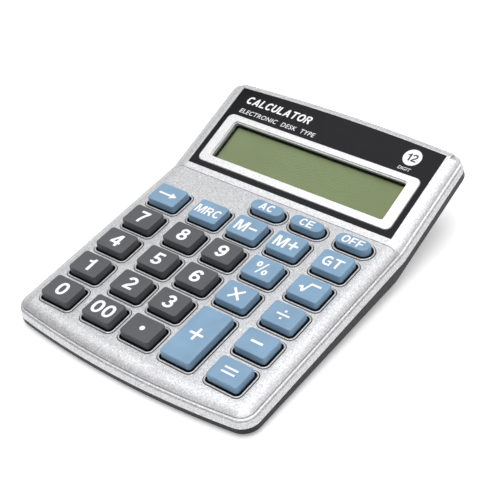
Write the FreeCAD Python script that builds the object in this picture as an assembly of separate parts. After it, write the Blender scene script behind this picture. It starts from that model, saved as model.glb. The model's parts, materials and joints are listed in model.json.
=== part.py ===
import FreeCAD, Part
import math
import os

from FreeCAD import Vector

# A twelve-digit desk calculator in millimetres.
# X runs across the keys, Y runs from the user to the display, Z is up.
# The origin is on the table, under the middle of the calculator.
#
# Three frames are used while building:
#   deck frame     z = 0 is the keypad deck, y = 0 is the front edge of the first row of key holes
#   display frame  the deck frame turned by DISPLAY_TILT about the seam line
#   table frame    the finished frame, in which the deck slopes by DECK_SLOPE

# ---- driving dimensions -------------------------------------------------------------------------
DECK_SLOPE = 4.0            # degrees, keypad deck against the table
DISPLAY_TILT = 15.0         # degrees, display section against the keypad deck
DECK_HEIGHT = 9.6           # height of the deck frame's origin over the table
DECK_BACK = -56.85          # where that origin lies along Y in the finished frame

HALF_WIDTH = 50.75          # outer half width at the parting line
SEAM_Y = 78.9               # fold line between keypad and display section
FRONT_Y = -9.85             # foremost point of the front edge
FRONT_BOW_R = 345.0         # plan radius of the bowed front edge
BACK_V = 44.3               # rearmost point, measured up the display section from the seam
BACK_BOW_R = 770.0
BOW_REACH = 130.0           # how far the bowed ends' shapes are carried into the case
PARTING_Z = -5.15           # parting line under the deck
PARTING_GAP = 0.32
WALL = 2.0
DECK_THICK = 1.4
EDGE_ROLL = (5.2, 2.0)      # width and drop of the strip over which the top rolls down
BACK_ROLL = (1.75, 0.5)     # the same along the back edge
BACK_CORNER_ROLL = (3.65, 1.3)
SHOULDER_R = 1.0            # rounded shoulder between the rolled strip and the side wall
WALL_DRAFT = 0.35
SHOULDER_IN = SHOULDER_R + WALL_DRAFT       # from the side's foot in to the rolled strip
FRONT_CORNER_R = EDGE_ROLL[0] + SHOULDER_IN
BACK_CORNER_R = BACK_CORNER_ROLL[0] + SHOULDER_IN
CREASE_DEPTH = 0.3
CREASE_WIDTH = 0.34
SEAM_TURN_R = 3.6           # bend by which the seam runs into the creases along the sides

STRIP_FRONT_Z = -7.5        # lower edge of the bottom shell's side at y = 0
STRIP_FALL = 0.031          # how much that edge falls per millimetre towards the seam
STRIP_DISPLAY_N = -8.2      # the same edge under the display section
CHAMFER = 1.25              # slanted edge between the side and the underside
FLOOR_THICK = 1.4
SIDE_STEP = 0.1             # the bottom shell's side is set in from the top shell's
LIP_GAP = 0.15              # between the bottom shell's lip and the top shell's wall
LIP_THICK = 0.7
LIP_HEIGHT = 1.0
SCREW_POST_R = 2.0          # posts under the top shell that the case screws bite into
SCREW_COLUMN_R = 2.6        # columns round the screws' heads in the bottom shell
SCREW_BORE_R = 2.3
SCREW_SEAT = -7.1           # where the case screws' heads bear, in each section's own frame

COLUMN_X = (-36.3, -17.4, -0.3, 16.8, 35.7)
ROW_PITCH = 13.76
HOLE_W = 13.7
HOLE_D = 10.95
HOLE_R = 1.7
RIM_W = 0.62                # raised bead round each hole
RIM_H = 0.34
RIM_GROOVE = (0.26, 0.2)    # width and depth of the fine groove outside the bead
OVAL_Y = 72.2
OVAL_W = 14.7
OVAL_D = 6.6

KEY_GAP = 0.3               # all round, between a key and its hole
KEY_TOP = 3.2               # height of the key tops over the deck
KEY_DRAFT = 0.41            # how far a key's side leans in from the deck to its top
KEY_R = 1.4
KEY_DISH = 0.12
KEY_WALL = 1.1
FLANGE_TOP = -DECK_THICK - 0.15
FLANGE_THICK = 0.6
FLANGE_LIP = 0.45           # how far a flange reaches under the deck
KEY_TRAVEL = 1.1            # until the carbon pill meets the board

MAT_TOP = -4.05             # rubber sheet under the keys
MAT_THICK = 0.45
BOARD_THICK = 1.0
BOARD_TOP = MAT_TOP - MAT_THICK
BOARD_UNDER = BOARD_TOP - BOARD_THICK
DOME_SLACK = 0.1            # between a key's plunger and its dome
DOME_ROOF = 0.35
PILL_THICK = 0.3
DOME_TOP = BOARD_TOP + KEY_TRAVEL - DOME_SLACK + PILL_THICK + DOME_ROOF
PLUNGER_END = DOME_TOP + DOME_SLACK

PANEL_W = 88.9              # glossy dark panel round the display window
PANEL_V = (2.65, 40.1)
PANEL_BOW = 1.2
PANEL_RECESS = 1.2
BEZEL_W = 84.4              # silver ring round the window
BEZEL_V = (4.84, 27.92)
BEZEL_R = 2.5
BEZEL_RISE = 0.3
WINDOW_W = 75.1
WINDOW_V = (8.18, 24.83)
WINDOW_R = 0.9
LENS_TOP = -1.6
LENS_THICK = 0.8
LCD_TOP = -2.5
POLARISER_THICK = 0.2
GLASS_THICK = 0.85

CELL_R = 7.25               # one size AA cell
CELL_LENGTH = 50.5
CELL_Y = 107.4              # cell centre in the sloped frame: along the table, from the deck origin
CELL_Z = 10.4
CELL_START = -22.6          # the cell's flat end
CONTACT_HALF = 4.5
CONTACT_THICK = 0.5
LEAD_R = 0.5
HOUSING_HALF = 37.0
HOUSING_FLOOR = 1.0         # underside of the battery housing over the table
HOUSING_WALL = 1.6
DOOR_GAP = 0.25
DOOR_HALF = 27.2
DOOR_TONGUE = 1.1
DOOR_FRONT = CELL_Y - CELL_R - 1.2
DOOR_REAR = 117.6
DOOR_STEP = HOUSING_FLOOR + 0.8     # the tongues slide over this ledge
DOOR_UPSTAND = 9.0
REAR_FOOT = (33.4, 104.9, 2.7)      # x, y along the table from the deck origin, radius
FRONT_FOOT = (38.0, 4.0, 3.4)

BLUE_KEYS = ("plus", "equals", "minus", "times", "divide", "percent", "root", "arrow", "recall",
             "memory_minus", "memory_plus", "grand_total")

# key name, column, first row, rows covered
KEYS = (("zero", 0, 0, 1), ("double_zero", 1, 0, 1), ("point", 2, 0, 1), ("plus", 3, 0, 2),
        ("equals", 4, 0, 1),
        ("one", 0, 1, 1), ("two", 1, 1, 1), ("three", 2, 1, 1), ("minus", 4, 1, 1),
        ("four", 0, 2, 1), ("five", 1, 2, 1), ("six", 2, 2, 1), ("times", 3, 2, 1),
        ("divide", 4, 2, 1),
        ("seven", 0, 3, 1), ("eight", 1, 3, 1), ("nine", 2, 3, 1), ("percent", 3, 3, 1),
        ("root", 4, 3, 1),
        ("arrow", 0, 4, 1), ("recall", 1, 4, 1), ("memory_minus", 2, 4, 1),
        ("memory_plus", 3, 4, 1), ("grand_total", 4, 4, 1))
OVAL_KEYS = (("all_clear", 2), ("clear_entry", 3), ("off", 4))

X_AXIS = Vector(1, 0, 0)
Z_AXIS = Vector(0, 0, 1)


# ---- helpers ------------------------------------------------------------------------------------
def box(x0, x1, y0, y1, z0, z1):
    return Part.makeBox(x1 - x0, y1 - y0, z1 - z0, Vector(x0, y0, z0))


def slab(half, y0, y1, z0, z1):
    """A box centred on x = 0."""
    return box(-half, half, y0, y1, z0, z1)


def rod(x, y, z0, z1, radius):
    return Part.makeCylinder(radius, z1 - z0, Vector(x, y, z0), Z_AXIS)


def rounded_wire(width, depth, radius, x=0.0, y=0.0, z=0.0):
    """A rectangle with rounded corners, centred on (x, y)."""
    w = width / 2 - radius
    d = depth / 2 - radius
    s = radius * math.sqrt(0.5)
    edges = []
    corners = ((w, -d, 1, -1), (w, d, 1, 1), (-w, d, -1, 1), (-w, -d, -1, -1))
    ends = []
    for cx, cy, sx, sy in corners:
        along_x = Vector(x + cx + sx * radius, y + cy, z)
        along_y = Vector(x + cx, y + cy + sy * radius, z)
        middle = Vector(x + cx + sx * s, y + cy + sy * s, z)
        first, last = (along_y, along_x) if sx * sy < 0 else (along_x, along_y)
        ends.append((first, last))
        edges.append(Part.Arc(first, middle, last).toShape())
        if len(ends) > 1 and (ends[-2][1] - first).Length > 1e-6:
            edges.append(Part.makeLine(ends[-2][1], first))
    if (ends[-1][1] - ends[0][0]).Length > 1e-6:
        edges.append(Part.makeLine(ends[-1][1], ends[0][0]))
    return Part.Wire(Part.__sortEdges__(edges))


def rounded_prism(width, depth, radius, z0, z1, x=0.0, y=0.0):
    wire = rounded_wire(width, depth, radius, x, y, z0)
    return Part.Face(wire).extrude(Vector(0, 0, z1 - z0))


def side_prism(points, half):
    """A (y, z) outline, extruded across the calculator."""
    wire = Part.makePolygon([Vector(-half, y, z) for y, z in points + [points[0]]])
    return Part.Face(wire).extrude(Vector(2 * half, 0, 0))


def fuse(shapes):
    shapes = list(shapes)
    return shapes[0].multiFuse(shapes[1:]) if len(shapes) > 1 else shapes[0]


def turned(shape, origin, degrees):
    out = shape.copy()
    out.rotate(origin, X_AXIS, degrees)
    return out


def on_display(shape):
    """Move a shape drawn at the display section's own (x, v, n) into the deck frame."""
    out = shape.copy()
    out.translate(Vector(0, SEAM_Y, 0))
    return turned(out, Vector(0, SEAM_Y, 0), DISPLAY_TILT)


def on_slope(shape):
    """Move a shape from the deck frame into the sloped frame, whose z = 0 is the table."""
    out = turned(shape, Vector(0, 0, 0), DECK_SLOPE)
    out.translate(Vector(0, 0, DECK_HEIGHT))
    return out


def off_slope(shape):
    """The reverse of on_slope."""
    out = shape.copy()
    out.translate(Vector(0, 0, -DECK_HEIGHT))
    return turned(out, Vector(0, 0, 0), -DECK_SLOPE)


def edges_at(shape, z):
    """The edges that lie flat at height z."""
    bounds = [(edge, edge.BoundBox) for edge in shape.Edges]
    return [edge for edge, b in bounds if abs(b.ZMin - z) < 1e-5 and abs(b.ZMax - z) < 1e-5]


# ---- the outer form of the case -----------------------------------------------------------------
def section_outline(half, roll):
    """(x, z) points down one side: flat top, rolled edge, round shoulder, leaning wall."""
    width, drop = roll
    arc_r = (width ** 2 + drop ** 2) / (2 * drop)
    flat = half - SHOULDER_IN - width
    mid_angle = 0.5 * math.asin(width / arc_r)
    roll_mid = (flat + arc_r * math.sin(mid_angle), -arc_r * (1 - math.cos(mid_angle)))
    roll_end = (flat + width, -drop)
    shoulder_end = (half - WALL_DRAFT, -drop - SHOULDER_R)
    lean = math.radians(50)
    shoulder_mid = (shoulder_end[0] - SHOULDER_R * (1 - math.sin(lean)),
                    shoulder_end[1] + SHOULDER_R * math.cos(lean) * 0.95)
    return (flat, 0.0), roll_mid, roll_end, shoulder_mid, shoulder_end, (half, PARTING_Z)


def edge_face(reach, roll, inner):
    """The section from inner out to reach, under that outline, as a face in the XZ plane."""
    v = [Vector(x, 0, z) for x, z in section_outline(reach, roll)]
    top = Vector(inner, 0, 0)
    low = Vector(inner, 0, v[5].z)
    edges = [Part.Arc(v[0], v[1], v[2]).toShape(), Part.Arc(v[2], v[3], v[4]).toShape(),
             Part.makeLine(v[4], v[5]), Part.makeLine(v[5], low), Part.makeLine(low, top)]
    if (v[0] - top).Length > 1e-6:
        edges.append(Part.makeLine(top, v[0]))
    return Part.Face(Part.Wire(Part.__sortEdges__(edges)))


def end_cutter(bow_r, roll):
    """A turned solid whose rim is the bowed end of the case, centred on its bow axis."""
    face = edge_face(bow_r, roll, bow_r - BOW_REACH)
    sweep = 2 * math.degrees(math.asin((HALF_WIDTH + 6) / (bow_r - BOW_REACH)))
    solid = face.revolve(Vector(0, 0, 0), Z_AXIS, sweep)
    solid.rotate(Vector(0, 0, 0), Z_AXIS, -90 - sweep / 2)
    return solid


def corner_place(bow_r, corner_r, half):
    """Centre of the circle that touches a bowed end and the right side; the bow's tip is at y = 0."""
    x = half - corner_r
    return x, bow_r - math.sqrt((bow_r - corner_r) ** 2 - x ** 2)


def corner_wedge(bow_r, corner_r, half, z0, z1):
    """The block outside the two points where that circle touches the end and the side."""
    x, y = corner_place(bow_r, corner_r, half)
    lean = math.asin(x / (bow_r - corner_r))
    far_y = y - 20 * math.cos(lean)
    points = [(x, y), (x + 20 * math.sin(lean), far_y), (half + 5, far_y), (half + 5, y), (x, y)]
    wire = Part.makePolygon([Vector(px, py, z0) for px, py in points])
    return Part.Face(wire).extrude(Vector(0, 0, z1 - z0))


def corner_trim(bow_r, corner_r, half, z0, z1):
    """What an upright rounded corner takes away."""
    x, y = corner_place(bow_r, corner_r, half)
    wedge = corner_wedge(bow_r, corner_r, half, z0, z1)
    return wedge.cut(rod(x, y, z0 - 1, z1 + 1, corner_r))


def rolled_corner_trim(bow_r, roll):
    """What a corner takes away whose rolled edge is carried round it."""
    corner_r = roll[0] + SHOULDER_IN
    x, y = corner_place(bow_r, corner_r, HALF_WIDTH)
    knob = edge_face(corner_r, roll, 0.0).revolve(Vector(0, 0, 0), Z_AXIS, 360)
    knob.translate(Vector(x, y, 0))
    return corner_wedge(bow_r, corner_r, HALF_WIDTH, PARTING_Z - 1, 5).cut(knob)


def turned_round(shape, tip_v):
    """Turn a front end into a back end whose bow's tip is at tip_v; the right side stays right."""
    out = shape.mirror(Vector(0, 0, 0), Vector(0, 1, 0))
    out.translate(Vector(0, tip_v, 0))
    return out


def half_space(front, low, high):
    """The keypad's or the display's side of the mitre plane through the seam."""
    lean = math.tan(math.radians(DISPLAY_TILT / 2))
    far = -60 if front else 200
    points = [(SEAM_Y - low * lean, low), (far, low), (far, high), (SEAM_Y - high * lean, high)]
    return side_prism(points, HALF_WIDTH + 20)


def both_sides(half):
    """A half of the case joined to its mirror image."""
    return half.fuse(half.mirror(Vector(0, 0, 0), X_AXIS)).removeSplitter()


def outer_form():
    """The silver outer form from the top surface down to the parting line, in the deck frame."""
    face = edge_face(HALF_WIDTH, EDGE_ROLL, 0.0)
    low = PARTING_Z - 6
    keypad = face.extrude(Vector(0, SEAM_Y + 40, 0))
    keypad.translate(Vector(0, -20, 0))
    front = end_cutter(FRONT_BOW_R, EDGE_ROLL)
    front.translate(Vector(0, FRONT_Y + FRONT_BOW_R, 0))
    trim = rolled_corner_trim(FRONT_BOW_R, EDGE_ROLL)
    trim.translate(Vector(0, FRONT_Y, 0))
    keypad = keypad.common(front).cut(trim).common(half_space(True, low, 20))

    display = face.extrude(Vector(0, BACK_V + 60, 0))
    display.translate(Vector(0, -30, 0))
    back = end_cutter(BACK_BOW_R, BACK_ROLL)
    back.translate(Vector(0, BACK_BOW_R, 0))
    trim = rolled_corner_trim(BACK_BOW_R, BACK_CORNER_ROLL)
    display = display.common(turned_round(back, BACK_V)).cut(turned_round(trim, BACK_V))
    display = on_display(display).common(half_space(False, low, 60))
    return both_sides(keypad.fuse(display))


def plan_half(inset, z0, z1, display):
    """The right half of a prism over the case's plan, drawn in by inset, for one section."""
    half = HALF_WIDTH - inset
    bow_r = (BACK_BOW_R if display else FRONT_BOW_R) - inset
    corner_r = max((BACK_CORNER_R if display else FRONT_CORNER_R) - inset, 0.6)
    body = box(0, half, 0, 160, z0, z1)
    disc = Part.makeCylinder(bow_r, z1 - z0, Vector(0, bow_r, z0), Z_AXIS)
    body = body.common(disc).cut(corner_trim(bow_r, corner_r, half, z0 - 1, z1 + 1))
    if display:
        return on_display(turned_round(body, BACK_V - inset)).common(half_space(False, z0 - 5, 80))
    body.translate(Vector(0, FRONT_Y + inset, 0))
    return body.common(half_space(True, z0 - 5, 20))


def folded_layer(inset, z0, z1):
    """A layer between two offsets of the top surface, over both sections of the case."""
    return both_sides(plan_half(inset, z0, z1, False).fuse(plan_half(inset, z0, z1, True)))


# ---- keys ---------------------------------------------------------------------------------------
def key_centre(column, row, rows):
    return COLUMN_X[column], row * ROW_PITCH + (HOLE_D + (rows - 1) * ROW_PITCH) / 2


def hole_depth(rows):
    return HOLE_D + (rows - 1) * ROW_PITCH


def openings():
    """Every key hole as (name, x, y, width, depth, corner radius)."""
    holes = []
    for name, column, row, rows in KEYS:
        x, y = key_centre(column, row, rows)
        holes.append((name, x, y, HOLE_W, hole_depth(rows), HOLE_R))
    for name, place in OVAL_KEYS:
        holes.append((name, COLUMN_X[place], OVAL_Y, OVAL_W, OVAL_D, OVAL_D / 2 - 0.001))
    return holes


def key_cap(x, y, width, depth, hole_r, blue):
    """One key: a hollow drafted cap with a flange under the deck and a plunger inside."""
    oval = hole_r > 2
    base_w = width - 2 * KEY_GAP
    base_d = depth - 2 * KEY_GAP
    base_r = base_d / 2 - 0.001 if oval else KEY_R
    top_w = base_w - 2 * KEY_DRAFT
    top_d = base_d - 2 * KEY_DRAFT
    top_r = top_d / 2 - 0.001 if oval else KEY_R - 0.2
    base = rounded_wire(base_w, base_d, base_r, z=FLANGE_TOP)
    top = rounded_wire(top_w, top_d, top_r, z=KEY_TOP)
    cap = Part.makeLoft([base, top], True, True)
    edge_r = 0.62 if blue else 0.38
    cap = cap.makeFillet(edge_r, edges_at(cap, KEY_TOP))
    dish_r = (top_w ** 2 / 8 + KEY_DISH ** 2 / 2) / KEY_DISH
    dish = Part.makeCylinder(dish_r, depth * 2, Vector(0, -depth, KEY_TOP + dish_r - KEY_DISH),
                             Vector(0, 1, 0))
    cap = cap.cut(dish)
    flange_w = width + 2 * FLANGE_LIP
    flange_d = depth + 2 * FLANGE_LIP
    flange_r = flange_d / 2 - 0.001 if oval else 1.2
    flange = rounded_prism(flange_w, flange_d, flange_r, FLANGE_TOP - FLANGE_THICK, FLANGE_TOP)
    hollow_w = top_w - 2 * KEY_WALL
    hollow_d = top_d - 2 * KEY_WALL
    hollow = rounded_prism(hollow_w, hollow_d, min(0.8, hollow_d / 2 - 0.01),
                           FLANGE_TOP - FLANGE_THICK, KEY_TOP - KEY_WALL - KEY_DISH)
    plunger = slab(2.4, -min(1.8, hollow_d / 2), min(1.8, hollow_d / 2), PLUNGER_END, KEY_TOP - KEY_WALL)
    key = cap.fuse(flange).cut(hollow).fuse(plunger).removeSplitter()
    key.translate(Vector(x, y, 0))
    return key


def key_solids():
    """Each key in the deck frame, by node name."""
    solids = {}
    for name, x, y, width, depth, radius in openings():
        blue = name in BLUE_KEYS or radius > 2
        solids["key_" + name] = key_cap(x, y, width, depth, radius, blue)
    return solids


# ---- top shell ----------------------------------------------------------------------------------
def panel_wire(width, v0, v1, bow, n):
    """A rectangle whose far side is bowed outwards."""
    h = width / 2
    a, b = Vector(-h, v0, n), Vector(h, v0, n)
    c, d = Vector(h, v1, n), Vector(-h, v1, n)
    arc = Part.Arc(c, Vector(0, v1 + bow, n), d).toShape()
    return Part.Wire([Part.makeLine(a, b), Part.makeLine(b, c), arc, Part.makeLine(d, a)])


def panel_prism(grow, n0, n1):
    wire = panel_wire(PANEL_W + 2 * grow, PANEL_V[0] - grow, PANEL_V[1] + grow, PANEL_BOW, n0)
    return Part.Face(wire).extrude(Vector(0, 0, n1 - n0))


def v_prism(width, v_range, radius, n0, n1, grow=0.0):
    """A rounded prism over a stretch of the display section."""
    depth = v_range[1] - v_range[0] + 2 * grow
    return rounded_prism(width + 2 * grow, depth, radius, n0, n1, 0, sum(v_range) / 2)


def frame_prism(hole, grow, width, z0, z1):
    """A rounded frame of a given width round one key hole, starting at grow from its edge."""
    x, y, w, d, r = hole
    far = grow + width
    outer = rounded_prism(w + 2 * far, d + 2 * far, r + far, z0, z1, x, y)
    inner = rounded_prism(w + 2 * grow, d + 2 * grow, r + grow, z0 - 1, z1 + 1, x, y)
    return outer.cut(inner)


def hole_rim(hole):
    """The raised bead round one key hole."""
    ring = frame_prism(hole, 0.0, RIM_W, -DECK_THICK / 2, RIM_H)
    return ring.makeFillet(RIM_H * 0.85, edges_at(ring, RIM_H))


def groove_ring(x, y, radius, low, high):
    """An upright thin-walled tube as wide as a crease."""
    return rod(x, y, low, high, radius).cut(rod(x, y, low - 1, high + 1, radius - CREASE_WIDTH))


def crease_half(low, high):
    """Thin upright walls over the right half of the crease that frames the keypad deck."""
    half = HALF_WIDTH - SHOULDER_IN
    corner_r = EDGE_ROLL[0]
    x, y = corner_place(FRONT_BOW_R - SHOULDER_IN, corner_r, half)
    y += FRONT_Y + SHOULDER_IN
    wedge = corner_wedge(FRONT_BOW_R - SHOULDER_IN, corner_r, half, low, high)
    wedge.translate(Vector(0, FRONT_Y + SHOULDER_IN, 0))
    turn_y = SEAM_Y - SEAM_TURN_R
    turn_x = half - SEAM_TURN_R
    bow = groove_ring(0, FRONT_Y + FRONT_BOW_R, FRONT_BOW_R - SHOULDER_IN, low, high)
    turn = groove_ring(turn_x, turn_y, SEAM_TURN_R, low, high)
    parts = [bow.common(box(0, x + 1, FRONT_Y - 1, y, low, high)).cut(wedge),
             groove_ring(x, y, corner_r, low, high).common(wedge),
             box(half - CREASE_WIDTH, half, y, turn_y, low, high),
             turn.common(box(turn_x, half + 1, turn_y, SEAM_Y + 1, low, high)),
             box(0, turn_x, SEAM_Y - CREASE_WIDTH, SEAM_Y, low, high)]
    return fuse(parts)


def crease_tool(form):
    """The groove round the keypad deck, of even depth under the outer form."""
    walls = both_sides(crease_half(-4.5, 1.0))
    floor = form.copy()
    floor.translate(Vector(0, 0, -CREASE_DEPTH))
    return walls.cut(floor)


def case_screws():
    """Places of the case screws as (x, y, on the display section)."""
    return ((-45.8, 2.0, False), (45.8, 2.0, False), (-45.8, 62.4, False), (45.8, 62.4, False),
            (-44.5, 34.5, True), (44.5, 34.5, True))


def board_screws():
    """Places of the board screws, in the crossings between the key holes."""
    across = [(COLUMN_X[i] + COLUMN_X[i + 1]) / 2 for i in (0, 1, 2, 3)]
    front = ROW_PITCH - (ROW_PITCH - HOLE_D) / 2
    rear = 4 * ROW_PITCH - (ROW_PITCH - HOLE_D) / 2
    middle = front + ROW_PITCH
    return ((across[0], front), (across[1], front), (across[0], rear), (across[3], rear),
            (across[0], middle), (across[3], middle), (across[1], rear), (across[2], rear))


def top_shell():
    form = outer_form()
    low = PARTING_Z - 2
    # the hollow is stepped, so that the rolled edges keep their thickness
    wide = folded_layer(WALL, low, -EDGE_ROLL[1] - 1.5)
    narrow = folded_layer(WALL + 2.8, low, -DECK_THICK)
    sunk = on_display(slab(PANEL_W / 2 + 1.4, 1.2, PANEL_V[1] + PANEL_BOW + 1.4, -PANEL_RECESS - 1.2, 0))
    cavity = fuse([wide, narrow]).cut(sunk)
    shell = form.cut(cavity)
    shell = shell.cut(on_display(panel_prism(0.12, -PANEL_RECESS, 2)))
    shell = shell.cut(on_display(v_prism(78.4, (6.3, 26.7), 1.2, -5, 2)))
    rims = [hole_rim(hole[1:]) for hole in openings()]
    groove_w, groove_d = RIM_GROOVE
    grooves = [frame_prism(hole[1:], RIM_W, groove_w, -groove_d, 1) for hole in openings()]
    cuts = []
    for name, x, y, width, depth, radius in openings():
        cuts.append(rounded_prism(width, depth, radius, -DECK_THICK - 3, 2, x, y))
    shell = shell.cut(Part.makeCompound(grooves)).fuse(fuse(rims))
    shell = shell.cut(Part.makeCompound(cuts)).cut(crease_tool(form))

    posts = []
    for x, y in board_screws():
        post = rod(x, y, BOARD_TOP, -DECK_THICK + 0.2, 1.35)
        posts.append(post.cut(rod(x, y, BOARD_TOP - 1, BOARD_TOP + 2.2, 0.55)))
    for x, y, tilted in case_screws():
        post = rod(x, y, PARTING_Z - 0.4, -2.9, SCREW_POST_R)
        post = post.cut(rod(x, y, PARTING_Z - 1, -3.2, 0.95))
        posts.append(on_display(post) if tilted else post)
    return shell.multiFuse(posts).removeSplitter()


# ---- bottom shell -------------------------------------------------------------------------------
def underside(drop):
    """The folded line of the bottom shell's lower edge as (y, z), lowered by drop."""
    tilt = math.radians(DISPLAY_TILT)

    def keypad_z(y):
        return STRIP_FRONT_Z - drop - STRIP_FALL * y

    n = STRIP_DISPLAY_N - drop
    origin_y = SEAM_Y - n * math.sin(tilt)
    origin_z = n * math.cos(tilt)
    rise = math.tan(tilt)
    # where the keypad line and the display line cross
    bend_y = (keypad_z(0) - origin_z + rise * origin_y) / (rise + STRIP_FALL)
    return keypad_z, bend_y, (origin_y, origin_z, rise)


def under_prism(drop, ceiling, half=HALF_WIDTH + 5):
    """Everything above the lowered underside line, up to a ceiling."""
    keypad_z, bend_y, (oy, oz, rise) = underside(drop)
    end_y = 170.0
    points = [(-40.0, keypad_z(-40.0)), (bend_y, keypad_z(bend_y)), (end_y, oz + rise * (end_y - oy)),
              (end_y, ceiling), (-40.0, ceiling)]
    return side_prism(points, half)


def housing_block(grow):
    """The battery housing under the display section, in the sloped frame, grown or shrunk."""
    points = [(91.4 - grow, 22.0), (93.8 - grow, HOUSING_FLOOR - grow),
              (DOOR_REAR + grow, HOUSING_FLOOR - grow), (DOOR_REAR + 1.2 + grow, 22.0)]
    return side_prism(points, HOUSING_HALF + grow)


def door_opening(half, z0, z1, front):
    """The slot in the housing floor for the battery door, open to the rear."""
    return slab(half, front, 125.0, z0, z1)


def bottom_shell():
    top = PARTING_Z - PARTING_GAP
    drop = CHAMFER
    outside = folded_layer(SIDE_STEP, -16, top).common(under_prism(0, 60))
    belly = folded_layer(CHAMFER + SIDE_STEP, -18, top).common(under_prism(drop, 60))
    # the slanted edge is a stack of three steps drawn together as a ruled chamfer
    steps = []
    for share in (0.25, 0.5, 0.75):
        layer = folded_layer(SIDE_STEP + CHAMFER * share ** 1.6, -18, top)
        steps.append(layer.common(under_prism(drop * share, 60)))
    housing = off_slope(housing_block(0)).common(under_prism(40, 60).cut(under_prism(drop - 0.2, 60)))
    body = outside.multiFuse([belly, housing] + steps)

    hollow = folded_layer(WALL + SIDE_STEP, -18, top + 5).common(under_prism(drop - FLOOR_THICK, 60))
    bay = off_slope(housing_block(-HOUSING_WALL)).cut(folded_layer(-5, -3.5, 60))
    body = body.cut(hollow.fuse(bay))

    lip = folded_layer(WALL + LIP_GAP, top - 1.6, top + LIP_HEIGHT)
    lip = lip.cut(folded_layer(WALL + LIP_GAP + LIP_THICK, top - 3, top + 2))
    body = body.fuse(lip)

    walls = []
    for side in (-1, 1):
        x0, x1 = sorted((side * 28.6, side * 29.8))
        walls.append(box(x0, x1, 95.5, 117.0, HOUSING_FLOOR + 0.5, 13.0))
    walls = off_slope(fuse(walls)).common(under_prism(40, 60))
    body = body.fuse(walls)
    slot = door_opening(DOOR_HALF, -5, DOOR_STEP, DOOR_FRONT)
    slot = slot.fuse(door_opening(DOOR_HALF + DOOR_TONGUE, DOOR_STEP, HOUSING_FLOOR + HOUSING_WALL + 0.3,
                                  DOOR_FRONT))
    slot = slot.fuse(box(-DOOR_HALF, DOOR_HALF, 114.0, 125.0, DOOR_STEP, DOOR_UPSTAND))
    body = body.cut(off_slope(slot))

    columns = []
    holes = []
    for x, y, tilted in case_screws():
        column = rod(x, y, -20, PARTING_Z - 0.45, SCREW_COLUMN_R)
        hole = rod(x, y, -20, PARTING_Z + 1, 1.25)
        bore = rod(x, y, -20, SCREW_SEAT, SCREW_BORE_R)
        if tilted:
            column, hole, bore = on_display(column), on_display(hole), on_display(bore)
        columns.append(column.common(under_prism(drop, 60)))
        holes.append(hole.fuse(bore))
    body = body.multiFuse(columns).cut(Part.makeCompound(holes))
    return body.removeSplitter()


# ---- small parts --------------------------------------------------------------------------------
def screw(x, y, seat, head_r, head_h, shank_r, length):
    """A pan-head screw driven upwards, with a cross recess."""
    head = rod(x, y, seat - head_h, seat, head_r)
    head = head.makeChamfer(head_h * 0.3, edges_at(head, seat - head_h))
    recess = head_r * 1.1
    slot = box(x - recess / 2, x + recess / 2, y - 0.2, y + 0.2, seat - head_h - 1, seat - head_h * 0.45)
    cross = slot.fuse(box(x - 0.2, x + 0.2, y - recess / 2, y + recess / 2, seat - head_h - 1,
                          seat - head_h * 0.45))
    shank = rod(x, y, seat, seat + length, shank_r)
    return head.cut(cross).fuse(shank)


def screw_groups():
    case = []
    for x, y, tilted in case_screws():
        one = screw(x, y, SCREW_SEAT, 2.0, 1.0, 0.9, 3.4)
        case.append(on_display(one) if tilted else one)
    board = [screw(x, y, BOARD_UNDER, 1.3, 0.6, 0.5, 2.6) for x, y in board_screws()]
    return Part.makeCompound(case), Part.makeCompound(board)


def rubber_mat():
    """The rubber sheet with one collapsible dome under each key."""
    sheet = slab(42.9, -2.6, 73.6, BOARD_TOP, MAT_TOP)
    domes = []
    bores = []
    for name, x, y, width, depth, radius in openings():
        r = 2.3 if radius > 2 else 3.3
        cone = Part.makeCone(r, r * 0.62, DOME_TOP - MAT_TOP + 0.01, Vector(x, y, MAT_TOP - 0.01))
        domes.append(cone)
        bores.append(Part.makeCone(r - 0.45, r * 0.62 - 0.35, DOME_TOP - DOME_ROOF - BOARD_TOP,
                                   Vector(x, y, BOARD_TOP)))
    holes = [rod(x, y, BOARD_TOP - 1, MAT_TOP + 1, 1.6) for x, y in board_screws()]
    return sheet.multiFuse(domes).cut(Part.makeCompound(bores + holes))


def carbon_pills():
    top = DOME_TOP - DOME_ROOF
    pills = []
    for name, x, y, width, depth, radius in openings():
        pills.append(rod(x, y, top - PILL_THICK, top, 0.95 if radius > 2 else 1.5))
    return Part.makeCompound(pills)


def main_board():
    board = slab(42.9, -3.0, 77.0, BOARD_UNDER, BOARD_TOP)
    holes = [rod(x, y, BOARD_TOP - 5, BOARD_TOP + 1, 0.7) for x, y in board_screws()]
    return board.cut(Part.makeCompound(holes))


def chip_blob():
    """The domed resin drop over the bare chip."""
    cap_h, cap_r = 1.1, 7.0
    ball_r = (cap_r ** 2 + cap_h ** 2) / (2 * cap_h)
    ball = Part.makeSphere(ball_r, Vector(8.0, 62.0, BOARD_UNDER - cap_h + ball_r))
    return ball.common(slab(30, 40, 80, BOARD_UNDER - cap_h - 1, BOARD_UNDER))


def board_parts(positions, length, width, height):
    """Small blocks soldered to the underside of the board."""
    low = BOARD_UNDER - height
    return Part.makeCompound([box(x, x + length, y, y + width, low, BOARD_UNDER) for x, y in positions])


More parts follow.
